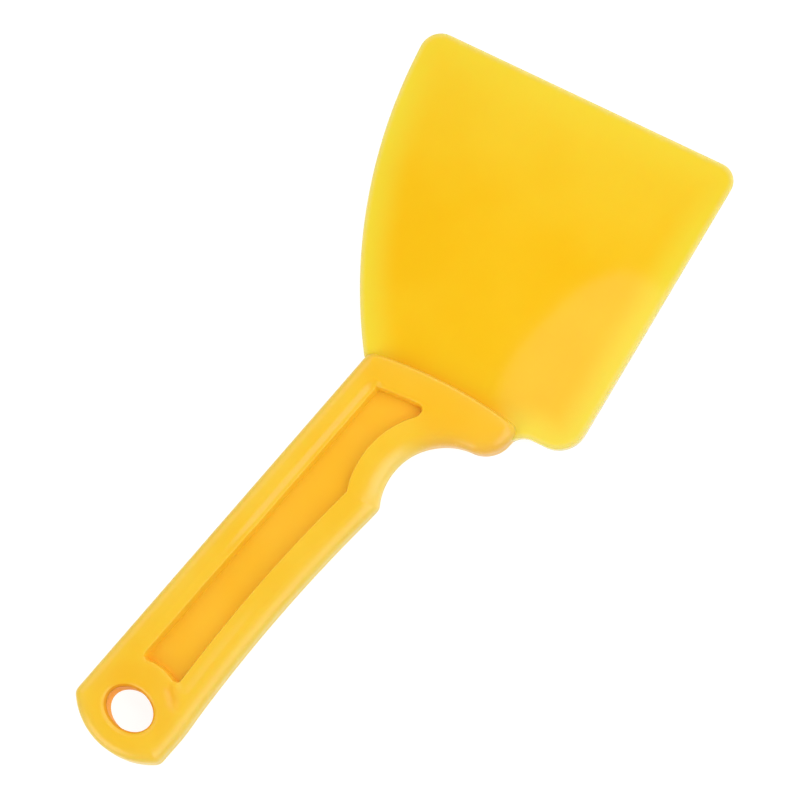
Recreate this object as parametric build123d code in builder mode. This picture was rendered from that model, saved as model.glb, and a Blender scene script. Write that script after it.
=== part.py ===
"""Hand squeegee: a thin flexible blade set into a moulded handle.

The origin is at the middle of the hanging hole, at mid-thickness. +X points square
to the working edge, +Y runs along that edge and +Z is up. The grip is skewed from
+X, so its outlines are drawn in a plane of their own, where the first coordinate
runs along the grip towards the blade and the second across it to the left.
"""

import os

from build123d import *

# Handle: outline of the grip
grip_skew = 15.0  # degrees between the grip and +X
handle_thickness = 9.0
edge_round = 2.4
grip_left = 14.8  # the straight side
grip_right = 15.1  # the hand side, straight at the butt and then waisted
waist_start = Vector(4.0, -grip_right)
waist_middle = Vector(46.0, -13.1)
waist_end = Vector(86.0, -15.0)
butt_from_hole = 12.2
butt_corner_from_hole = 5.8
butt_corner_radius = 3.0

# Handle: finger recess, and the nose beyond it
recess_centre = Vector(94.0, -28.5)
recess_radius = 17.4
heel_radius = 3.0
nose_corner = Vector(126.0, -30.3)
nose_radius = 8.5
nose_tip_radius = 2.6

# Handle: the lip over the blade is one shallow arc
lip_centre = Vector(-8.6, -37.7)
lip_radius = 132.5
lip_corner_radius = 3.0

# Handle: oval hanging hole, and the panel sunk into each face between its boss and the lip
hole_along = 5.4  # half its width along the grip
hole_across = 7.0
hole_round = 1.2
boss_radius = 13.7
rim_width = 8.3
panel_shift = 0.3  # to the left, so the right rim is the wider one
panel_right = 7.1
panel_depth = 3.0
panel_draft = 12.0
panel_corner_radius = 1.5

# Blade: outline
blade_front = 198.7  # from the hanging hole to the working edge
blade_left = 10.3
blade_right_front = -83.4
blade_right_rear = -76.4
blade_rear = 110.6
blade_rear_top = -50.0  # inside the nose
side_arc_radius = 137.5
side_arc_end = 189.5
side_arc_angle = 45.0
front_left_radius = 6.0
front_right_radius = 5.0
rear_radius = 8.0
notch_radius = 5.5

# Blade: thickness, in a wedge from the handle to the working edge
blade_root = 3.0
blade_tip = 1.1

# Tang of the blade, keyed into a closed pocket of the handle
tang_depth = 6.5
tang_thickness = 2.4
tang_left = 11.5
tang_right = 23.0
tang_overlap = 1.0
key_count = 4
key_radius = 1.6
key_first = 9.0  # degrees round the lip's centre
key_last = 19.0
pocket_gap = 0.1

os.makedirs("parts", exist_ok=True)

grip_plane = Plane.XY.rotated((0, 0, -grip_skew))
far = 2 * lip_radius  # beyond every outline

# Outline of the handle, with the nose's tip still sharp
with BuildSketch() as sharp_plan:
    with BuildLine():
        butt = ThreePointArc(
            (-butt_corner_from_hole, grip_left),
            (-butt_from_hole, 0),
            (-butt_corner_from_hole, -grip_right),
        )
        Line(butt @ 1, waist_start)
        ThreePointArc(waist_start, waist_middle, waist_end)
        Polyline(waist_end, recess_centre, nose_corner, (nose_corner.X, grip_left), butt @ 0)
    make_face()
    with Locations(lip_centre):
        Circle(lip_radius, mode=Mode.INTERSECT)
    with Locations(recess_centre):
        Circle(recess_radius, mode=Mode.SUBTRACT)
    fillet(sharp_plan.vertices().group_by(Axis.X)[0], butt_corner_radius)
    fillet(sharp_plan.vertices().sort_by_distance(waist_end)[0], heel_radius)
    lip_left = Vector(nose_corner.X, grip_left)
    fillet(sharp_plan.vertices().sort_by_distance(lip_left)[0], lip_corner_radius)
    nose_ends = sharp_plan.vertices().sort_by(Axis.Y)[0:2]
    fillet(nose_ends.sort_by(Axis.X)[0], nose_radius)

# Outline of the handle as it is above and below the blade
with BuildSketch() as handle_plan:
    add(sharp_plan.sketch)
    fillet(handle_plan.vertices().sort_by_distance(nose_corner)[0], nose_tip_radius)

# Where a panel is sunk: the handle less its rim, the boss and the nose
with BuildSketch() as panel_plan:
    with Locations((0, panel_shift)):
        add(handle_plan.sketch)
    offset(amount=-rim_width, kind=Kind.INTERSECTION)
    Circle(boss_radius, mode=Mode.SUBTRACT)
    with Locations((0, -panel_right)):
        Rectangle(far, grip_left * 2, align=(Align.MIN, Align.MIN), mode=Mode.INTERSECT)
    ends = panel_plan.vertices().group_by(Axis.X)
    fillet(ends[0] + ends[1] + ends[-1] + ends[-2], panel_corner_radius)

# Outline of the blade's open part, with the notch where it leaves the nose
with BuildSketch() as blade_plan:
    with BuildLine():
        side_arc = CenterArc(
            (side_arc_end, blade_left - side_arc_radius),
            side_arc_radius,
            90,
            side_arc_angle,
        )
        Polyline(
            side_arc @ 0,
            (blade_front, blade_left),
            (blade_front, blade_right_front),
            (blade_rear, blade_right_rear),
            (blade_rear, blade_rear_top),
            side_arc @ 1,
        )
    make_face()
    for corner, radius in (
        ((blade_front, blade_left), front_left_radius),
        ((blade_front, blade_right_front), front_right_radius),
        ((blade_rear, blade_right_rear), rear_radius),
    ):
        fillet(blade_plan.vertices().sort_by_distance(corner)[0], radius)
    add(sharp_plan.sketch.rotate(Axis.Z, -grip_skew))
    nose_end = nose_corner.rotate(Axis.Z, -grip_skew)
    fillet(blade_plan.vertices().sort_by_distance((blade_rear, nose_end.Y))[0], notch_radius)
    handle_in_place = handle_plan.sketch.rotate(Axis.Z, -grip_skew)
    add(offset(handle_in_place, amount=pocket_gap, mode=Mode.PRIVATE), mode=Mode.SUBTRACT)

# Outline of the tang: a band behind the lip, with holes for the handle's keys
with BuildSketch() as tang_plan:
    with Locations(lip_centre):
        Circle(lip_radius + tang_overlap)
        Circle(lip_radius - tang_depth, mode=Mode.SUBTRACT)
    with Locations((0, -tang_right)):
        Rectangle(far, tang_left + tang_right, align=(Align.MIN, Align.MIN), mode=Mode.INTERSECT)
    with Locations(lip_centre):
        with PolarLocations(
            lip_radius - tang_depth / 2,
            key_count,
            key_first,
            key_last - key_first,
            endpoint=True,
        ):
            Circle(key_radius, mode=Mode.SUBTRACT)

# Handle, with the tang's pocket and the keys that stand in it
with BuildPart() as handle:
    with BuildSketch(grip_plane):
        add(handle_plan.sketch)
    extrude(amount=handle_thickness / 2, both=True)
    flats = handle.faces().sort_by(Axis.Z)
    fillet(flats[0].edges() + flats[-1].edges(), edge_round)
    for side in (1, -1):
        with BuildSketch(grip_plane.offset(side * handle_thickness / 2)):
            add(panel_plan.sketch)
        extrude(amount=-side * panel_depth, taper=panel_draft, mode=Mode.SUBTRACT)
    with BuildSketch(grip_plane):
        Ellipse(hole_along, hole_across)
    extrude(amount=handle_thickness, both=True, mode=Mode.SUBTRACT)
    hole_edges = handle.edges(Select.LAST).group_by(Axis.Z)
    fillet(hole_edges[0] + hole_edges[-1], hole_round)
    with BuildSketch(grip_plane):
        offset(tang_plan.sketch, amount=pocket_gap)
    extrude(amount=tang_thickness / 2 + pocket_gap, both=True, mode=Mode.SUBTRACT)

# Blade, with its tang
with BuildPart() as blade:
    with BuildSketch():
        add(blade_plan.sketch)
    extrude(amount=blade_root / 2, both=True)
    with BuildSketch(Plane.XZ):
        Polygon(
            (0, blade_root / 2),
            (0, -blade_root / 2),
            (blade_rear, -blade_root / 2),
            (blade_front, -blade_tip / 2),
            (blade_front, blade_tip / 2),
            (blade_rear, blade_root / 2),
            align=None,
        )
    extrude(amount=far, both=True, mode=Mode.INTERSECT)
    with BuildSketch(grip_plane):
        add(tang_plan.sketch)
    extrude(amount=tang_thickness / 2, both=True)

handle.part.label = "handle"
export_step(handle.part, "parts/handle.step")
blade.part.label = "blade"
export_step(blade.part, "parts/blade.step")
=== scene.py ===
"""Looks of the hand squeegee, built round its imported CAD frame.

Shapes are worked out in millimetres in the row frame and scaled to metres when a mesh
is made. Each piece takes its outline from the CAD mesh of the node it stands for.
"""

import math

import bpy
import numpy as np
from mathutils import Matrix, Vector
from mathutils.geometry import delaunay_2d_cdt


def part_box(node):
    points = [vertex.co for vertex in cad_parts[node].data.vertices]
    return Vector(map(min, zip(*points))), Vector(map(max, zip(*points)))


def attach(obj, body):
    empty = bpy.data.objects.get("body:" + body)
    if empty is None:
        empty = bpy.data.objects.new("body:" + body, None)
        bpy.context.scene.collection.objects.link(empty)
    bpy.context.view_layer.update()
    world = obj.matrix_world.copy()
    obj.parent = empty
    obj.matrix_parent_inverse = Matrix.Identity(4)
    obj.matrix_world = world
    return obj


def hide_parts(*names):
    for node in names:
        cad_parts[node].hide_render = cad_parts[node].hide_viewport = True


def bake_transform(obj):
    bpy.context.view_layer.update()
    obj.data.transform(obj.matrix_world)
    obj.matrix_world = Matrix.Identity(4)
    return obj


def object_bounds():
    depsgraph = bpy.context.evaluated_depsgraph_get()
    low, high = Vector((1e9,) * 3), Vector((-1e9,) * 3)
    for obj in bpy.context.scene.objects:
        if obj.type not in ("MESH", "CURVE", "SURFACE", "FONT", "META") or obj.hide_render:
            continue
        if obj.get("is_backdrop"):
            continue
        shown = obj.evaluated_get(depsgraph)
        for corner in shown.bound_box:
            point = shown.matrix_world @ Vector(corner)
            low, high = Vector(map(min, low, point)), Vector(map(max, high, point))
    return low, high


MM = 0.001

# Handle section, in millimetres
CAD_EDGE_ROUND = 2.4
CAD_HOLE_ROUND = 1.2
HAND_EDGE = (5.0, 2.8)  # how far a rounded edge reaches in, and down
THUMB_EDGE = (3.4, 2.3)
LIP_EDGE = (0.8, 1.0)
RECESS_EDGE = (7.5, 3.6)
NOSE_EDGE = (3.6, 2.6)
RECESS_CENTRE = (94.0, -28.5)  # in the grip's own axes, along it and to its left
RECESS_RADIUS = 17.4
HOLE_EDGE = (1.9, 1.3)
MOUTH_EDGE = (0.25, 0.15)
PANEL_DRAFT = 12.0  # degrees
RIM_CROWN = 0.08
PARTING_LINE = 0.05
VALLEY_RADIUS = 12.2
VALLEY_WIDTH = 1.3
VALLEY_DEPTH = 0.75
VALLEY_RISE = (16, 24)  # degrees clockwise from the grip, over which it deepens
VALLEY_FALL = (38, 58)
BOSS_FADE = (11, 14)  # from the hole, over which the boss's deeper colour goes
BOSS_BACK = (-6, 4)  # along the grip, over which that colour comes
LIP_START = 100.0  # from the hole, along X or along the grip: the lip lies beyond it
NOSE_START = 103.0  # from the hole, along the grip
NOSE_FULL = 111.0
NOSE_END = 121.0
RECESS_FRONT = (97, 105)  # along the grip, over which the painted highlight along the recess fades
BORE_FACES = 0.57  # faces this close to the hole's wall have the bore's duller finish and painted shade

# Dish in the rim beside the panel, in millimetres out from its mouth. At the sides its
# depth goes from the first value to the second over a stretch along the grip.
END_DISH = (0.0, 1.2, 0.12)  # start, reach and depth
LEFT_DISH = (0.3, 2.6, (36, 64), (0.12, 0.95))  # start, reach, stretch and depths
RIGHT_DISH = (1.4, 3.6, (28, 52), (0.70, 0.15))

GRIP_SKEW = math.radians(15)

# Blade section, in millimetres
BLADE_EDGE = 0.35
BLADE_HIDDEN = 1.5  # how far the blade runs into the handle
COVERED = 0.15  # closer than this to the handle's outline, the blade's outline is covered
WEDGE_START = 110.6  # where the blade starts to thin towards its working edge

# Mesh, in millimetres: steps along outlines, grids, and the least gap between points
OUTLINE_STEP = 0.5
HOLE_STEP = 0.4
FACE_GRID = 1.1
RING_GAP = 0.12
GRID_GAP = 0.55
ARC_TURN = 15  # degrees between rings round a rounded edge
BLADE_STEP = 0.6
LIP_STEP = 0.3
BLADE_GRID = 1.6
BLADE_RING_GAP = 0.25
BLADE_GRID_GAP = 0.8

# Camera and studio, in metres and degrees
VIEW_TILT = 14.0  # the camera leans this far to the right of the grip
VIEW_LEAN = 48.99  # how far the grip is turned from level in the picture
VIEW_WIDTH = 0.2122
VIEW_CENTRE = (0.07106, 0.08244)  # right and up from the hanging hole
LENS = 800.0  # the lens and the sensor are in millimetres
SENSOR = 36.0
LIGHT_DISTANCE = 2.4
FLOOR_GAP = 0.0002
FLOOR_HALF = 6.0
FLOOR_GLOW = 0.9
SURROUND_GLOW = 0.18
CARD_SPOT = (0.1276, 0.0905)  # right and up from the hanging hole
CARD_DISTANCE = 0.1
CARD_HALF = (0.0275, 0.0176)
CARD_SQUARENESS = 0.75  # power of its rounded outline: 1 is an ellipse, 0 a rectangle
CARD_CORNERS = 96
CARD_GLOW = 1.15

# Each light's bearing from the grip and its height, in degrees, its width and its radiance
LIGHTS = {
    "front": (5, 48, 2.2, 1.95),
    "right": (-80, 42, 1.9, 2.6),
    "left": (95, 38, 1.5, 1.6),
    "rear": (165, 26, 1.6, 3.0),
}


# ---------------------------------------------------------------- outlines

STRAIGHT_RATIO = 2.5  # a chord this much longer than the next is a straight, not part of an arc
SHARP_TURN = 35  # degrees; a smaller turn between chords is rounded


def cad_mesh(node):
    """The node's separate corners, in millimetres, and its triangles."""
    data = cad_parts[node].data
    points = np.array([v.co for v in data.vertices], float) / MM
    corners, index = np.unique(points.round(3), axis=0, return_inverse=True)
    data.calc_loop_triangles()
    triangles = index.reshape(-1)[np.array([t.vertices for t in data.loop_triangles])]
    return corners, triangles


def slopes(corners, triangles):
    """Z part of each triangle's unit normal."""
    a, b, c = (corners[triangles[:, i]] for i in range(3))
    normal = np.cross(b - a, c - a)
    return normal[:, 2] / (np.linalg.norm(normal, axis=1) + 1e-12)


def rims(corners, triangles, height=None):
    """Closed loops round these triangles, the longest first, or only those at that height."""
    edges = set()
    for t in triangles:
        for a, b in ((t[0], t[1]), (t[1], t[2]), (t[2], t[0])):
            if (b, a) in edges:
                edges.remove((b, a))
            else:
                edges.add((a, b))
    if height is not None:
        edges = {(a, b) for a, b in edges if abs(corners[[a, b], 2] - height).max() < 0.02}
    following = dict(sorted(edges))
    loops = []
    while following:
        loop = [next(iter(following))]
        corner = following.pop(loop[0])
        while corner in following:
            loop.append(corner)
            corner = following.pop(corner)
        loops.append(corners[loop][:, :2])
    return sorted(loops, key=perimeter, reverse=True)


def perimeter(loop):
    return np.linalg.norm(np.roll(loop, -1, 0) - loop, axis=1).sum()


def anticlockwise(loop):
    x, y = loop.T
    area = (x * np.roll(y, -1) - np.roll(x, -1) * y).sum()
    return loop if area > 0 else loop[::-1]


def smooth_loop(loop, step):
    """The closed loop again with points about a step apart and its tessellated arcs made round.

    It stays inside the first loop's box.
    """
    loop = anticlockwise(loop)
    chord = np.roll(loop, -1, 0) - loop
    length = np.linalg.norm(chord, axis=1)
    ahead = chord / length[:, None]
    behind = np.roll(ahead, 1, 0)
    length_behind = np.roll(length, 1)
    tangent = ahead * length_behind[:, None] + behind * length[:, None]
    straight = length > STRAIGHT_RATIO * length_behind
    tangent[straight] = ahead[straight]
    straight = length_behind > STRAIGHT_RATIO * length
    tangent[straight] = behind[straight]
    tangent /= np.linalg.norm(tangent, axis=1)[:, None]
    sharp = (ahead * behind).sum(1) < math.cos(math.radians(SHARP_TURN))
    leaving = np.where(sharp[:, None], ahead, tangent)
    arriving = np.roll(np.where(sharp[:, None], behind, tangent), -1, 0)
    points = []
    for i, start in enumerate(loop):
        end = loop[(i + 1) % len(loop)]
        count = max(1, round(length[i] / step))
        t = (np.arange(count) / count)[:, None]
        points.append(
            (2 * t**3 - 3 * t**2 + 1) * start
            + (t**3 - 2 * t**2 + t) * leaving[i] * length[i]
            + (3 * t**2 - 2 * t**3) * end
            + (t**3 - t**2) * arriving[i] * length[i]
        )
    return np.clip(np.concatenate(points), loop.min(0), loop.max(0))


def outward(loop):
    """Unit normals that point out of an anticlockwise loop."""
    along = np.roll(loop, -1, 0) - np.roll(loop, 1, 0)
    along /= np.linalg.norm(along, axis=1)[:, None]
    return np.c_[along[:, 1], -along[:, 0]]


def distances(points, loop):
    """How far outside the loop each point is, less than 0 inside, and the loop's nearest corner."""
    start = loop
    chord = np.roll(loop, -1, 0) - loop
    square = (chord**2).sum(1)
    gap = np.empty(len(points))
    near = np.empty(len(points), int)
    for first in range(0, len(points), 2000):
        block = points[first : first + 2000, None, :]
        t = np.clip(((block - start) * chord).sum(2) / square, 0, 1)
        d = np.linalg.norm(start + t[..., None] * chord - block, axis=2)
        i = d.argmin(1)
        rows = np.arange(len(i))
        gap[first : first + 2000] = d[rows, i]
        near[first : first + 2000] = (i + (t[rows, i] > 0.5)) % len(loop)
    return np.where(inside(points, loop), -gap, gap), near


def nearest_gap(points, others):
    """Distance from each point to the nearest of the others."""
    blocks = [points[i : i + 500, None] for i in range(0, len(points), 500)]
    return np.concatenate([np.linalg.norm(block - others, axis=2).min(1) for block in blocks])


def inside(points, loop):
    x, y = points.T
    found = np.zeros(len(points), bool)
    for (x0, y0), (x1, y1) in zip(loop, np.roll(loop, -1, 0)):
        if y0 != y1:
            crosses = ((y0 > y) != (y1 > y)) & (x < (x1 - x0) * (y - y0) / (y1 - y0) + x0)
            found ^= crosses
    return found


def along_loop(values, reach):
    """Values at a loop's corners, averaged over that many corners each way."""
    weight = np.hanning(2 * reach + 3)[1:-1]
    padded = np.r_[values[-reach:], values, values[:reach]]
    return np.convolve(padded, weight / weight.sum(), "valid")


def smoothstep(value, low, high):
    t = np.clip((value - low) / (high - low), 0, 1)
    return t * t * (3 - 2 * t)


def grid(loop, spacing):
    """Points of a triangular grid over the loop's box."""
    low, high = loop.min(0), loop.max(0)
    rows = np.arange(low[1], high[1], spacing * math.sqrt(0.75))
    columns = np.arange(low[0], high[0], spacing)
    x, y = np.meshgrid(columns, rows)
    x[1::2] += spacing / 2
    return np.c_[x.ravel(), y.ravel()]


def plate(loops, fill):
    """Triangles over the region inside the first loop and outside the others.

    Every loop corner and fill point becomes a corner. Returns the corners, with the
    loops' first and in their order, and the triangles.
    """
    points = np.concatenate(loops + [fill])
    edges = []
    first = 0
    for loop in loops:
        n = len(loop)
        edges += [(first + i, first + (i + 1) % n) for i in range(n)]
        first += n
    out = delaunay_2d_cdt([Vector(p) for p in points], edges, [], 0, 1e-5)
    corners = np.array([tuple(p) for p in out[0]])
    index = np.array([min(origin) for origin in out[3]])
    if len(corners) != len(points) or len(set(index)) != len(points):
        raise ValueError("the outline crosses itself")
    triangles = index[np.array(out[2])]
    centres = points[triangles].mean(1)
    keep = inside(centres, loops[0])
    for hole in loops[1:]:
        keep &= ~inside(centres, hole)
    return points, triangles[keep]


# ---------------------------------------------------------------- meshes


def make_object(name, points, faces, attributes):
    """A smooth-shaded object from corners in millimetres. Keeps each corner's rest place in rest_mm."""
    mesh = bpy.data.meshes.new(name)
    mesh.from_pydata((points * MM).tolist(), [], [list(map(int, f)) for f in faces])
    mesh.shade_smooth()
    rest = mesh.attributes.new("rest_mm", "FLOAT_VECTOR", "POINT")
    rest.data.foreach_set("vector", points.astype(np.float32).ravel())
    for key, values in attributes.items():
        layer = mesh.attributes.new(key, "FLOAT", "POINT")
        layer.data.foreach_set("value", np.asarray(values, np.float32))
    mesh.update()
    obj = bpy.data.objects.new(name, mesh)
    bpy.context.scene.collection.objects.link(obj)
    return obj


def mark_sharp(obj, marked):
    """Make every edge sharp whose two corners are both marked."""
    edges = obj.data.edges
    ends = np.empty(2 * len(edges), np.int32)
    edges.foreach_get("vertices", ends)
    layer = obj.data.attributes.new("sharp_edge", "BOOLEAN", "EDGE")
    layer.data.foreach_set("value", marked[ends.reshape(-1, 2)].all(1))


def two_sided(plan, triangles, top, walls):
    """Corners and faces of a solid that is the same above and below Z = 0.

    plan and top are the upper face's corners and heights. Each wall is a loop given as
    its range of corners in plan, and rings between the faces as (outward move, height).
    """
    n = len(plan)
    points = [np.c_[plan, top], np.c_[plan, -top]]
    faces = [triangles, triangles[:, ::-1] + n]
    count = 2 * n
    quads = []
    for (first, last), normals, rings in walls:
        size = last - first
        levels = [np.arange(first, last)]
        for move, height in rings:
            ring = plan[first:last] + normals * np.asarray(move).reshape(-1, 1)
            points.append(np.c_[ring, np.broadcast_to(height, size)])
            levels.append(np.arange(count, count + size))
            count += size
        levels.append(np.arange(first, last) + n)
        for upper, lower in zip(levels, levels[1:]):
            quads.append(np.c_[upper, lower, np.roll(lower, -1), np.roll(upper, -1)])
    return np.concatenate(points), [*faces[0], *faces[1], *np.concatenate(quads)]


def on_both_faces(values, others):
    """Values for a two-sided solid's corners: the same on both faces, 0 at the others."""
    return np.r_[np.tile(values, 2), np.zeros(others, values.dtype)]


def rounded_drop(distance, reach, depth):
    """Fall of a quarter-ellipse edge at a distance in from it."""
    t = 1 - np.clip(distance / reach, 0, 1)
    return depth * (1 - np.sqrt(1 - t * t))


def grip_axes(points):
    """Places along the grip and to its left."""
    cos, sin = math.cos(GRIP_SKEW), math.sin(GRIP_SKEW)
    return points @ np.array([[cos, sin], [-sin, cos]])


def rings_beside(loop, reach, shares):
    """Points beside a loop at these shares of its corners' reach, less any that crowd the loop."""
    kept = []
    for share in shares:
        move = reach * share * np.ones(len(loop))
        ring = loop + outward(loop) * move[:, None]
        kept.append(ring[abs(distances(ring, loop)[0]) > abs(move) - 0.03])
    return np.concatenate(kept)


def thinned(groups, spacing):
    """The groups of points together, less any that crowd an earlier group."""
    kept = groups[0]
    for group in groups[1:]:
        kept = np.concatenate([kept, group[nearest_gap(group, kept) > spacing]])
    return kept


def shoulder(distance, reach, depth):
    """Fall of a soft shoulder, level at both ends, at a distance from its low end."""
    return depth * (0.5 + 0.5 * np.cos(math.pi * np.clip(distance / reach, 0, 1)))


def panel_shoulders(mouth):
    """The dish in the rim beside each corner of a panel's mouth: its start, reach and depth."""
    facing = grip_axes(outward(mouth))[:, 1]
    along = grip_axes(mouth)[:, 0]
    plain = np.array(END_DISH)[:, None]
    sizes = plain + np.zeros(len(mouth))
    for side, (start, reach, stretch, (first, last)) in ((1, LEFT_DISH), (-1, RIGHT_DISH)):
        share = along_loop(side * facing > 0.7, 5)
        depth = first + (last - first) * smoothstep(along, *stretch)
        sizes += share * (np.array(np.broadcast_arrays(start, reach, depth)) - plain)
    return sizes


def handle_outline(corners, triangles, step):
    """Outline of the handle's upright side wall."""
    wall = triangles[abs(slopes(corners, triangles)) < 0.02]
    wall_top = corners[:, 2].max() - CAD_EDGE_ROUND
    return smooth_loop(rims(corners, wall, wall_top)[0], step)


def edge_sizes(outline):
    """How far the rounded edge reaches in and down at each corner of the handle's outline."""
    normal = outward(outline)
    from_recess = np.linalg.norm(grip_axes(outline) - RECESS_CENTRE, axis=1)
    on_lip = along_loop((normal[:, 0] > 0.9) & (outline[:, 0] > LIP_START), 9)
    on_recess = along_loop((from_recess < RECESS_RADIUS + 1) & (normal[:, 1] < -0.2), 14)
    on_thumb = ((normal[:, 1] > 0.3) & (normal[:, 0] < 0.9)) | (normal[:, 0] < -0.5)
    on_thumb = along_loop(on_thumb, 9) * (1 - on_recess)
    on_nose = under_nose(outline) * (1 - on_lip) * (1 - on_thumb)
    on_recess *= 1 - on_nose
    on_hand = 1 - on_lip - on_recess - on_thumb - on_nose
    shares = np.c_[on_lip, on_recess, on_thumb, on_nose, on_hand]
    return (shares @ np.array([LIP_EDGE, RECESS_EDGE, THUMB_EDGE, NOSE_EDGE, HAND_EDGE])).T


def under_nose(outline):
    """Share, 0 to 1, by which each corner of the outline is under the nose."""
    along = grip_axes(outline)[:, 0]
    facing = grip_axes(outward(outline))
    return along_loop((along > NOSE_START) & (along < NOSE_END) & (facing[:, 1] < -0.2), 14)


def handle_fill(outline, mouth, hole, reach, foot, dish_end):
    """Points inside the handle's outline: rings where its face curves, and a grid between them."""
    turns = 1 - np.cos(np.radians(np.arange(ARC_TURN, 91, ARC_TURN)))
    fill = thinned(
        [
            rings_beside(outline, -reach, turns),
            rings_beside(mouth, MOUTH_EDGE[0], (0, 0.5, 1)),
            rings_beside(mouth, -foot, (0.5, 1, 1.3)),
            rings_beside(hole, HOLE_EDGE[0], turns),
            rings_beside(mouth, dish_end, (0.25, 0.4, 0.55, 0.7, 0.85, 1)),
        ],
        RING_GAP,
    )
    open_grid = grid(outline, FACE_GRID)
    open_grid = open_grid[inside(open_grid, outline) & (distances(open_grid, hole)[0] > 0.5)]
    return thinned([np.concatenate([outline, fill]), open_grid], GRID_GAP)[len(outline) :]


def handle_zones(plan, to_edge, edge_reach, under, to_mouth, boss_end):
    """How strongly each painted zone shows at each corner of the handle's face."""
    along, left = grip_axes(plan).T
    off_lip = smoothstep(edge_reach, LIP_EDGE[0], THUMB_EDGE[0])
    in_recess = smoothstep(edge_reach, HAND_EDGE[0], RECESS_EDGE[0])
    in_recess *= 1 - smoothstep(along, *RECESS_FRONT)
    panel = np.clip(-to_mouth, 0, 1)
    # painted shade at the foot of the panel's wall at its boss end
    end_wall_shade = boss_end * np.exp(-(((to_mouth + 0.7) / 0.8) ** 2))
    boss = (1 - smoothstep(np.hypot(along, left), *BOSS_FADE)) * smoothstep(along, *BOSS_BACK)
    return {
        "edge": np.exp(-((to_edge / 1.3) ** 2)) + 0.8 * np.exp(-((to_mouth / 0.7) ** 2)),
        # painted light: paler near the edges, where light comes through the plastic
        "thin": np.exp(-to_edge / 1.6) * (0.3 + 0.7 * off_lip),
        # painted highlight: a pale band along the finger recess's rounded edge
        "recess_highlight": in_recess * np.exp(-(((to_edge - 0.9) / 1.5) ** 2)),
        "nose": smoothstep(along, NOSE_START, NOSE_FULL),
        "shade": under * np.exp(-to_edge / 1.8),
        # painted shade deeper in the panel, in its valley beside the boss and at its boss-end corner,
        # plus a deeper tone round the boss
        "shade_and_boss_tone": np.maximum(panel, boss_valley(plan)) + 1.2 * end_wall_shade + 0.5 * boss,
    }


def make_handle():
    """The moulded handle: rounded edges, crowned rims, and a sunk panel in each face."""
    corners, triangles = cad_mesh("handle")
    slope = slopes(corners, triangles)
    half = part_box("handle")[1].z / MM
    flat = triangles[(slope > 0.999) & (abs(corners[triangles][:, :, 2] - half).max(1) < 0.01)]
    outline = handle_outline(corners, triangles, OUTLINE_STEP)
    mouth = smooth_loop(rims(corners, flat)[1], OUTLINE_STEP)
    wall = triangles[abs(slope) < 0.02]
    hole = smooth_loop(rims(corners, wall, half - CAD_HOLE_ROUND)[0], HOLE_STEP)
    floor = corners[triangles[slope > 0.999]][:, :, 2]
    panel_depth = half - floor[(floor > 0.5) & (floor < half - 1)].max()
    foot = panel_depth * math.tan(math.radians(PANEL_DRAFT))

    reach, depth = edge_sizes(outline)
    dish_start, dish_reach, dish_depth = panel_shoulders(mouth)
    fill = handle_fill(outline, mouth, hole, reach, foot, dish_start + dish_reach)
    plan, tops = plate([outline, hole], fill)
    to_edge, near_edge = distances(plan, outline)
    to_edge = np.maximum(-to_edge, 0)
    to_edge[: len(outline)] = 0
    to_mouth, near_mouth = distances(plan, mouth)
    from_hole = np.maximum(distances(plan, hole)[0], 0)
    from_hole[len(outline) : len(outline) + len(hole)] = 0
    outside = np.maximum(to_mouth, 0)
    rise = outside - dish_start[near_mouth]
    dish = shoulder(rise, dish_reach[near_mouth], dish_depth[near_mouth])
    dish += rounded_drop(outside, *MOUTH_EDGE)
    crown_edge = np.minimum(to_edge - reach[near_edge], np.minimum(to_mouth, from_hole) - 1.0)
    crown = RIM_CROWN * (1 - smoothstep(crown_edge, 0, 2.2)) * (to_mouth > -0.3)
    crown *= smoothstep(reach[near_edge], LIP_EDGE[0], THUMB_EDGE[0])
    top = half - dish - (panel_depth - dish) * np.clip(-to_mouth / foot, 0, 1)
    top -= rounded_drop(to_edge, reach[near_edge], depth[near_edge])
    top -= rounded_drop(from_hole, *HOLE_EDGE) + crown + VALLEY_DEPTH * boss_valley(plan)

    size = len(outline)
    mid = (half - depth - RIM_CROWN) * 0.5
    outline_rings = [(0, mid), (0, 0.16), (-PARTING_LINE, 0), (0, -0.16), (0, -mid)]
    walls = [
        ((0, size), outward(outline), outline_rings),
        ((size, size + len(hole)), -outward(hole), [(0, 1.6), (0, 0), (0, -1.6)]),
    ]
    points, faces = two_sided(plan, tops, top, walls)
    under = under_nose(outline)
    boss_end = along_loop(grip_axes(outward(mouth))[:, 0] < -0.6, 2)
    zones = handle_zones(
        plan, to_edge, reach[near_edge], under[near_edge], to_mouth, boss_end[near_mouth]
    )
    rest = len(points) - 2 * len(plan)
    attributes = {key: on_both_faces(values, rest) for key, values in zones.items()}
    on_wall = slice(2 * len(plan), 2 * len(plan) + len(outline_rings) * size)
    # painted light: the side walls are painted pale, as lit from the floor and through the plastic
    attributes["thin"][on_wall] = 1
    attributes["shade"][on_wall] = np.tile(under, len(outline_rings))
    handle = make_object("handle_moulding", points, faces, attributes)
    on_foot = abs(to_mouth + foot) < 0.03
    mark_sharp(handle, on_both_faces(on_foot, rest))
    handle.data.materials.append(handle_plastic())
    handle.data.materials.append(bore_plastic())
    centres = np.array([face.center.xy for face in handle.data.polygons]) / MM
    bored = distances(centres, hole)[0] < BORE_FACES
    handle.data.polygons.foreach_set("material_index", bored.astype(np.int32))
    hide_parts("handle")
    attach(handle, "handle")


def boss_valley(plan):
    """Share, 0 to 1, of the shallow tail in which the panel runs out beside the boss."""
    along, left = grip_axes(plan).T
    angle = np.degrees(np.arctan2(-left, along))
    tail = smoothstep(angle, *VALLEY_RISE) * (1 - smoothstep(angle, *VALLEY_FALL))
    return tail * np.exp(-(((np.hypot(along, left) - VALLEY_RADIUS) / VALLEY_WIDTH) ** 2))


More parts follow.
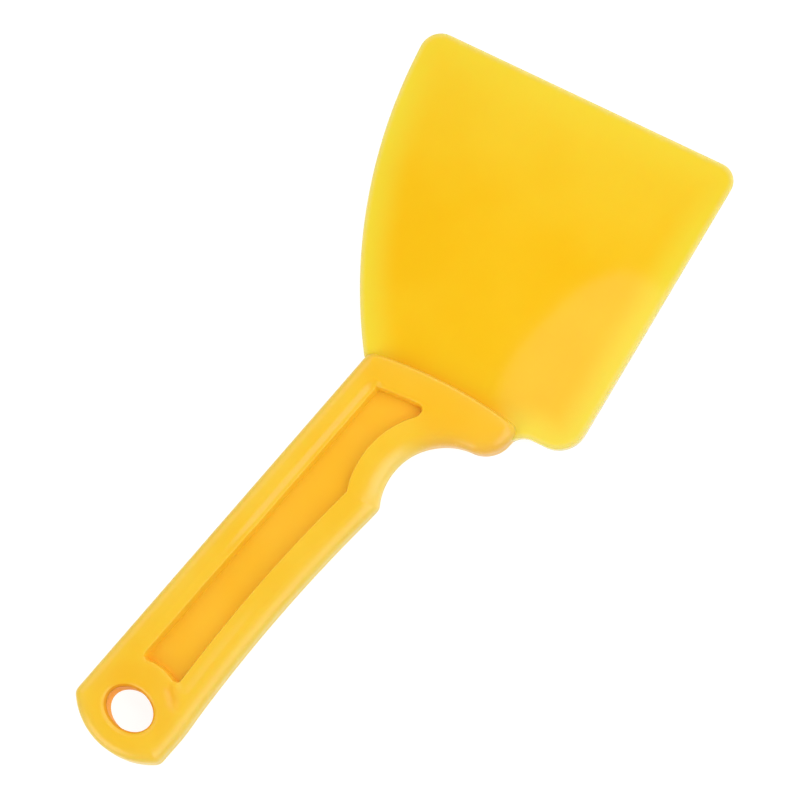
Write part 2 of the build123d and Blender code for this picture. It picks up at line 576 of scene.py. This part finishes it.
def make_blade():
    """The thin blade: an even root, a wedge to the working edge, and a part inside the handle."""
    corners, triangles = cad_mesh("blade")
    slope = slopes(corners, triangles)
    outline = smooth_loop(rims(corners, triangles[slope > 0.99])[0], BLADE_STEP)
    around = handle_outline(*cad_mesh("handle"), LIP_STEP)
    beside, near = distances(outline, around)
    covered = beside < COVERED
    outline = outline - outward(around)[near] * (BLADE_HIDDEN * covered)[:, None]

    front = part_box("blade")[1].x / MM
    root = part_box("blade")[1].z / MM
    tip = corners[corners[:, 0] > front - 0.01][:, 2].max()
    normal = outward(outline)
    rings = [outline - normal * BLADE_EDGE * s for s in (0.15, 0.5, 1.0, 2.2, 4.0)]
    at_lip = grip_axes(around)[:, 0] > LIP_START
    lip, ahead = around[at_lip], outward(around)[at_lip]
    beside_lip = [lip + ahead * s for s in (0.3, 0.8, 1.5, 2.5, 4.0)]
    fill = thinned([np.concatenate(rings), np.concatenate(beside_lip)], BLADE_RING_GAP)
    fill = fill[distances(fill, outline)[0] < -0.03]
    open_grid = grid(outline, BLADE_GRID)
    open_grid = open_grid[inside(open_grid, outline)]
    fill = thinned([np.concatenate([outline, fill]), open_grid], BLADE_GRID_GAP)[len(outline) :]
    plan, tops = plate([outline], fill)
    to_edge = np.maximum(-distances(plan, outline)[0], 0)
    to_edge[: len(outline)] = 0
    thinning = np.clip((plan[:, 0] - WEDGE_START) / (front - WEDGE_START), 0, 1)
    top = root + (tip - root) * thinning
    top -= rounded_drop(to_edge, BLADE_EDGE, BLADE_EDGE)
    walls = [((0, len(outline)), normal, [(0, 0)])]
    points, faces = two_sided(plan, tops, top, walls)
    zones = {
        "inset": to_edge,
        "free": nearest_gap(plan, outline[~covered]),
        # painted shadow: strongest right beside the handle's lip, fading away from it
        "lip_shadow": np.exp(-np.maximum(distances(plan, around)[0], 0) / 1.3),
    }
    rest = len(points) - 2 * len(plan)
    attributes = {key: on_both_faces(values, rest) for key, values in zones.items()}
    blade = make_object("blade_moulding", points, faces, attributes)
    blade.data.materials.append(blade_plastic())
    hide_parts("blade")
    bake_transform(blade)


# ---------------------------------------------------------------- materials


class Nodes:
    """Short ways to add and link the nodes of one material."""

    def __init__(self, name):
        self.material = bpy.data.materials.new(name)
        self.material.use_nodes = True
        self.tree = self.material.node_tree
        self.shader = self.tree.nodes["Principled BSDF"]

    def add(self, kind, **settings):
        node = self.tree.nodes.new(kind)
        for key, value in settings.items():
            setattr(node, key, value)
        return node

    def link(self, start, end):
        self.tree.links.new(start, end)

    def attribute(self, name, output="Fac"):
        """The mesh's attribute of that name, as a number or as a vector."""
        return self.add("ShaderNodeAttribute", attribute_name=name).outputs[output]

    def math(self, operation, first, second):
        node = self.add("ShaderNodeMath", operation=operation)
        for socket, value in zip(node.inputs, (first, second)):
            if isinstance(value, (int, float)):
                socket.default_value = value
            else:
                self.link(value, socket)
        return node.outputs[0]

    def spread(self, value, low, high, to_low=0.0, to_high=1.0):
        """The value mapped smoothly from one range to another, and held at its ends."""
        node = self.add("ShaderNodeMapRange", interpolation_type="SMOOTHSTEP")
        self.link(value, node.inputs["Value"])
        names = ("From Min", "From Max", "To Min", "To Max")
        for name, number in zip(names, (low, high, to_low, to_high)):
            node.inputs[name].default_value = number
        return node.outputs[0]

    def noise(self, vector, size, detail=3.0, roughness=0.55, stretch=None):
        """Noise with features about that many millimetres across."""
        if stretch:
            turn, scale = stretch
            mapping = self.add("ShaderNodeMapping")
            mapping.inputs["Rotation"].default_value = (0, 0, math.radians(turn))
            mapping.inputs["Scale"].default_value = scale
            self.link(vector, mapping.inputs["Vector"])
            vector = mapping.outputs[0]
        node = self.add("ShaderNodeTexNoise")
        node.inputs["Scale"].default_value = 1 / size
        node.inputs["Detail"].default_value = detail
        node.inputs["Roughness"].default_value = roughness
        self.link(vector, node.inputs["Vector"])
        return node.outputs["Fac"]

    def mix(self, factor, first, second):
        node = self.add("ShaderNodeMix", data_type="RGBA")
        self.link(factor, node.inputs["Factor"])
        for name, colour in (("A", first), ("B", second)):
            socket = [s for s in node.inputs if s.name == name and s.type == "RGBA"][0]
            if isinstance(colour, tuple):
                socket.default_value = (*colour, 1)
            else:
                self.link(colour, socket)
        return [s for s in node.outputs if s.type == "RGBA"][0]

    def bump(self, height, distance, below=None):
        """Bump of that many millimetres, over another bump."""
        node = self.add("ShaderNodeBump")
        node.inputs["Strength"].default_value = 1
        node.inputs["Distance"].default_value = distance * MM
        self.link(height, node.inputs["Height"])
        if below is not None:
            self.link(below, node.inputs["Normal"])
        return node.outputs[0]


def plastic_shader(nodes, subsurface):
    shader = nodes.shader
    shader.inputs["IOR"].default_value = 1.47
    shader.inputs["Subsurface Weight"].default_value = subsurface
    shader.inputs["Subsurface Radius"].default_value = (1.0, 0.55, 0.12)
    shader.inputs["Subsurface Scale"].default_value = 0.7 * MM


def handle_plastic():
    """Glossy yellow-orange plastic, faintly scuffed, with painted light and shade: edges and side walls
    painted paler as light through the plastic and off the floor, painted shade deeper in the panel and
    under the nose, a painted highlight along the finger recess, and a deeper tone round the boss.
    """
    nodes = Nodes("handle_plastic")
    plastic_shader(nodes, 0.35)
    place = nodes.attribute("rest_mm", "Vector")
    edge = nodes.attribute("edge")
    thin = nodes.attribute("thin")
    shade_and_boss_tone = nodes.attribute("shade_and_boss_tone")
    recess_highlight = nodes.attribute("recess_highlight")
    nose = nodes.attribute("nose")
    shade = nodes.attribute("shade")
    flow = nodes.noise(place, 22.0, detail=2.0)
    grain = nodes.noise(place, 0.35, detail=2.0)
    marks = nodes.noise(place, 0.5, detail=4.0, stretch=(-22, (0.06, 1.0, 0.5)))
    wear = nodes.noise(place, 1.3, detail=5.0, roughness=0.7)

    colour = nodes.mix(nodes.spread(flow, 0.3, 0.7), (0.975, 0.560, 0.019), (0.985, 0.590, 0.029))
    colour = nodes.mix(nodes.math("MULTIPLY", nose, 0.6), colour, (0.965, 0.500, 0.005))
    # painted shade: deeper orange in the panel, its valley and its boss-end corner, and a deeper tone
    # round the boss
    colour = nodes.mix(nodes.math("MULTIPLY", shade_and_boss_tone, 0.6), colour, (0.95, 0.46, 0.014))
    # painted light: paler, greyer edges and side walls where light comes through and off the floor
    colour = nodes.mix(nodes.math("MULTIPLY", thin, 0.5), colour, (0.78, 0.66, 0.14))
    # painted highlight: paler colour along the finger recess's edge
    colour = nodes.mix(nodes.math("MULTIPLY", recess_highlight, 0.75), colour, (0.97, 0.69, 0.15))
    colour = nodes.mix(nodes.math("MULTIPLY", shade, 0.7), colour, (0.86, 0.42, 0.06))
    rubbed = nodes.math("MULTIPLY", nodes.spread(wear, 0.52, 0.68), nodes.spread(edge, 0.3, 1.0))
    colour = nodes.mix(nodes.math("MULTIPLY", rubbed, 0.35), colour, (0.97, 0.72, 0.18))
    nodes.link(colour, nodes.shader.inputs["Base Color"])

    scratched = nodes.spread(marks, 0.60, 0.72)
    roughness = nodes.spread(flow, 0.3, 0.7, 0.285, 0.34)
    roughness = nodes.math("ADD", roughness, nodes.math("MULTIPLY", rubbed, 0.18))
    roughness = nodes.math("ADD", roughness, nodes.math("MULTIPLY", scratched, 0.08))
    nodes.link(roughness, nodes.shader.inputs["Roughness"])

    normal = nodes.bump(flow, 0.12)
    normal = nodes.bump(grain, 0.0015, normal)
    normal = nodes.bump(nodes.math("SUBTRACT", 1.0, scratched), 0.0012, normal)
    normal = nodes.bump(wear, 0.004, normal)
    nodes.link(normal, nodes.shader.inputs["Normal"])
    return nodes.material


def bore_plastic():
    """Duller plastic of the hanging hole's wall, drawn by the mould's pin, and darkened with painted
    shade inside the hole.
    """
    nodes = Nodes("bore_plastic")
    plastic_shader(nodes, 0.35)
    nodes.shader.inputs["Specular IOR Level"].default_value = 0.1
    place = nodes.attribute("rest_mm", "Vector")
    flow = nodes.noise(place, 3.0)
    drawn = nodes.noise(place, 0.4, detail=3.0, stretch=(0, (1.0, 1.0, 0.08)))
    # painted shade: a darker orange for the inside of the hole
    colour = nodes.mix(nodes.spread(flow, 0.3, 0.7), (0.86, 0.36, 0.016), (0.90, 0.42, 0.022))
    nodes.link(colour, nodes.shader.inputs["Base Color"])
    nodes.link(nodes.spread(drawn, 0.3, 0.7, 0.45, 0.6), nodes.shader.inputs["Roughness"])
    nodes.link(nodes.bump(drawn, 0.01), nodes.shader.inputs["Normal"])
    return nodes.material


def blade_plastic():
    """Smooth yellow sheet: faint flow marks, a rubbed working edge, and painted light and shade: paler
    where it thins and along its free edges as painted light through the sheet, and painted shadow
    beside the handle's lip.
    """
    nodes = Nodes("blade_plastic")
    plastic_shader(nodes, 0.35)
    place = nodes.attribute("rest_mm", "Vector")
    inset = nodes.attribute("inset")
    free = nodes.attribute("free")
    lip_shadow = nodes.attribute("lip_shadow")
    split = nodes.add("ShaderNodeSeparateXYZ")
    nodes.link(place, split.inputs[0])
    forward = split.outputs["X"]
    flow = nodes.noise(place, 30.0, detail=2.0)
    grain = nodes.noise(place, 0.4, detail=2.0)
    marks = nodes.noise(place, 0.45, detail=4.0, stretch=(4, (0.05, 1.0, 0.5)))
    wear = nodes.noise(place, 1.6, detail=5.0, roughness=0.7)

    uneven = nodes.math("MULTIPLY", nodes.math("SUBTRACT", flow, 0.5), 10.0)
    toward_edge = nodes.spread(nodes.math("ADD", forward, uneven), 155.0, 200.0, 0.0, 0.5)
    # painted light: the sheet is painted paler near its free edges, where light comes through it
    margin = nodes.spread(free, 0.0, 11.0, 0.85, 0.0)
    margin = nodes.math("MULTIPLY", margin, nodes.spread(forward, 175.0, 196.0, 1.0, 0.5))
    rim = nodes.spread(free, 0.0, 1.7, 0.85, 0.0)
    body = nodes.mix(nodes.spread(flow, 0.3, 0.7), (0.935, 0.533, 0.004), (0.945, 0.558, 0.008))
    # painted shadow: deeper orange on the blade beside the handle's lip
    colour = nodes.mix(nodes.math("MULTIPLY", lip_shadow, 0.6), body, (0.930, 0.415, 0.012))
    # painted light: paler towards the working edge, where the thinning sheet lets more light through
    colour = nodes.mix(toward_edge, colour, (0.905, 0.735, 0.050))
    # painted light: paler margins near the free edges
    colour = nodes.mix(margin, colour, (0.885, 0.724, 0.045))
    # painted light: a pale line right along the free edges
    colour = nodes.mix(rim, colour, (0.860, 0.720, 0.200))
    edge = nodes.spread(inset, 0.0, 2.2, 1.0, 0.0)
    working = nodes.math("MULTIPLY", edge, nodes.spread(forward, 188.0, 197.0))
    handled = nodes.math("MAXIMUM", working, nodes.math("MULTIPLY", edge, 0.4))
    rubbed = nodes.math("MULTIPLY", nodes.spread(wear, 0.5, 0.66), handled)
    colour = nodes.mix(nodes.math("MULTIPLY", rubbed, 0.4), colour, (0.96, 0.78, 0.22))
    nodes.link(colour, nodes.shader.inputs["Base Color"])

    scratched = nodes.spread(marks, 0.60, 0.72)
    roughness = nodes.spread(flow, 0.3, 0.7, 0.08, 0.12)
    roughness = nodes.math("ADD", roughness, nodes.math("MULTIPLY", rubbed, 0.2))
    roughness = nodes.math("ADD", roughness, nodes.math("MULTIPLY", scratched, 0.06))
    nodes.link(roughness, nodes.shader.inputs["Roughness"])

    normal = nodes.bump(flow, 0.03)
    normal = nodes.bump(grain, 0.001, normal)
    normal = nodes.bump(nodes.math("SUBTRACT", 1.0, scratched), 0.0012, normal)
    normal = nodes.bump(nodes.math("MULTIPLY", wear, edge), 0.02, normal)
    nodes.link(normal, nodes.shader.inputs["Normal"])
    return nodes.material


def floor_finish():
    """White light-table floor: it glows evenly and has no sheen."""
    nodes = Nodes("floor")
    shader = nodes.shader
    shader.inputs["Base Color"].default_value = (0.2, 0.2, 0.2, 1)
    shader.inputs["Roughness"].default_value = 0.9
    shader.inputs["Specular IOR Level"].default_value = 0.0
    shader.inputs["Emission Color"].default_value = (1, 1, 1, 1)
    shader.inputs["Emission Strength"].default_value = FLOOR_GLOW
    return nodes.material


# ---------------------------------------------------------------- stage, camera and lights


def make_floor():
    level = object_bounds()[0].z - FLOOR_GAP
    mesh = bpy.data.meshes.new("floor")
    signs = ((-1, -1), (1, -1), (1, 1), (-1, 1))
    corners = [(x * FLOOR_HALF, y * FLOOR_HALF, level) for x, y in signs]
    mesh.from_pydata(corners, [], [(0, 1, 2, 3)])
    mesh.materials.append(floor_finish())
    floor = bpy.data.objects.new("floor", mesh)
    bpy.context.scene.collection.objects.link(floor)
    floor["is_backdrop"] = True


def view_axes():
    """Right, up and towards the camera, as the photograph sees the object."""
    along = Vector((math.cos(GRIP_SKEW), -math.sin(GRIP_SKEW), 0))
    across = Vector((math.sin(GRIP_SKEW), math.cos(GRIP_SKEW), 0))
    tilt = math.radians(VIEW_TILT)
    lean = math.radians(VIEW_LEAN)
    seen_across = math.cos(tilt) * across + math.sin(tilt) * Vector((0, 0, 1))
    back = math.cos(tilt) * Vector((0, 0, 1)) - math.sin(tilt) * across
    right = math.cos(lean) * along - math.sin(lean) * seen_across
    up = math.sin(lean) * along + math.cos(lean) * seen_across
    return right, up, back


def make_camera():
    right, up, back = view_axes()
    data = bpy.data.cameras.new("camera")
    data.sensor_width = SENSOR
    data.lens = LENS
    distance = VIEW_WIDTH * data.lens / data.sensor_width
    centre = VIEW_CENTRE[0] * right + VIEW_CENTRE[1] * up
    camera = bpy.data.objects.new("camera", data)
    camera.matrix_world = Matrix.Translation(centre + back * distance) @ Matrix(
        (
            (right.x, up.x, back.x, 0),
            (right.y, up.y, back.y, 0),
            (right.z, up.z, back.z, 0),
            (0, 0, 0, 1),
        )
    )
    data.clip_start = 0.1
    data.clip_end = 100
    bpy.context.scene.collection.objects.link(camera)
    bpy.context.scene.camera = camera


def make_light(name, place, aim, size, radiance):
    """A soft square light of that width, aimed at a point."""
    data = bpy.data.lights.new(name, "AREA")
    data.shape = "RECTANGLE"
    data.size = data.size_y = size
    data.energy = radiance * math.pi * size * size
    light = bpy.data.objects.new(name, data)
    light.location = place
    light.rotation_mode = "QUATERNION"
    light.rotation_quaternion = (place - aim).to_track_quat("Z", "Y")
    light.visible_camera = False
    bpy.context.scene.collection.objects.link(light)


def make_lights():
    """Four broad soft lights round the object, well away from it."""
    low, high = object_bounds()
    middle = (low + high) / 2
    for name, (bearing, height, size, radiance) in LIGHTS.items():
        bearing = math.radians(bearing) - GRIP_SKEW
        height = math.radians(height)
        level = math.cos(height)
        aim = Vector((math.cos(bearing) * level, math.sin(bearing) * level, math.sin(height)))
        make_light(name, middle + aim * LIGHT_DISTANCE, middle, size, radiance)


def make_card():
    """A small card close over the blade's right, which the blade reflects as a pale patch."""
    right, up, back = view_axes()
    spot = CARD_SPOT[0] * right + CARD_SPOT[1] * up
    facing = Vector((-back.x, -back.y, back.z))
    long_way = (right + up).normalized()
    short_way = facing.cross(long_way).normalized()
    long_way = short_way.cross(facing)
    centre = spot + facing * CARD_DISTANCE
    corners = []
    for i in range(CARD_CORNERS):
        turn = 2 * math.pi * i / CARD_CORNERS
        x = math.copysign(abs(math.cos(turn)) ** CARD_SQUARENESS, math.cos(turn))
        y = math.copysign(abs(math.sin(turn)) ** CARD_SQUARENESS, math.sin(turn))
        corners.append(centre + long_way * (CARD_HALF[0] * x) + short_way * (CARD_HALF[1] * y))
    nodes = Nodes("card")
    nodes.shader.inputs["Base Color"].default_value = (0, 0, 0, 1)
    nodes.shader.inputs["Emission Color"].default_value = (1, 1, 1, 1)
    nodes.shader.inputs["Emission Strength"].default_value = CARD_GLOW
    mesh = bpy.data.meshes.new("card")
    mesh.from_pydata(corners, [], [range(CARD_CORNERS)])
    mesh.materials.append(nodes.material)
    card = bpy.data.objects.new("card", mesh)
    card.visible_camera = False
    card.visible_shadow = False
    bpy.context.scene.collection.objects.link(card)
    card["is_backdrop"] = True


def make_world():
    """A dim white surround, and colours shown as they are."""
    scene = bpy.context.scene
    world = bpy.data.worlds.new("studio")
    world.use_nodes = True
    background = world.node_tree.nodes["Background"]
    background.inputs["Color"].default_value = (1, 1, 1, 1)
    background.inputs["Strength"].default_value = SURROUND_GLOW
    scene.world = world
    scene.view_settings.view_transform = "Standard"


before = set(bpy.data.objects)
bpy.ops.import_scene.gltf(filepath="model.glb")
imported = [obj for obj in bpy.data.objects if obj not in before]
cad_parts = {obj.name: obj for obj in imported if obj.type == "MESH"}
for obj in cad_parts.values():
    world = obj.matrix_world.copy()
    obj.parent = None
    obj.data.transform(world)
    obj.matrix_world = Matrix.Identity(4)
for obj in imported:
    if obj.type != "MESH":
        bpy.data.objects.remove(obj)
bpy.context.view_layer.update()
make_world()
make_floor()
make_camera()
make_lights()
make_card()
make_handle()
make_blade()
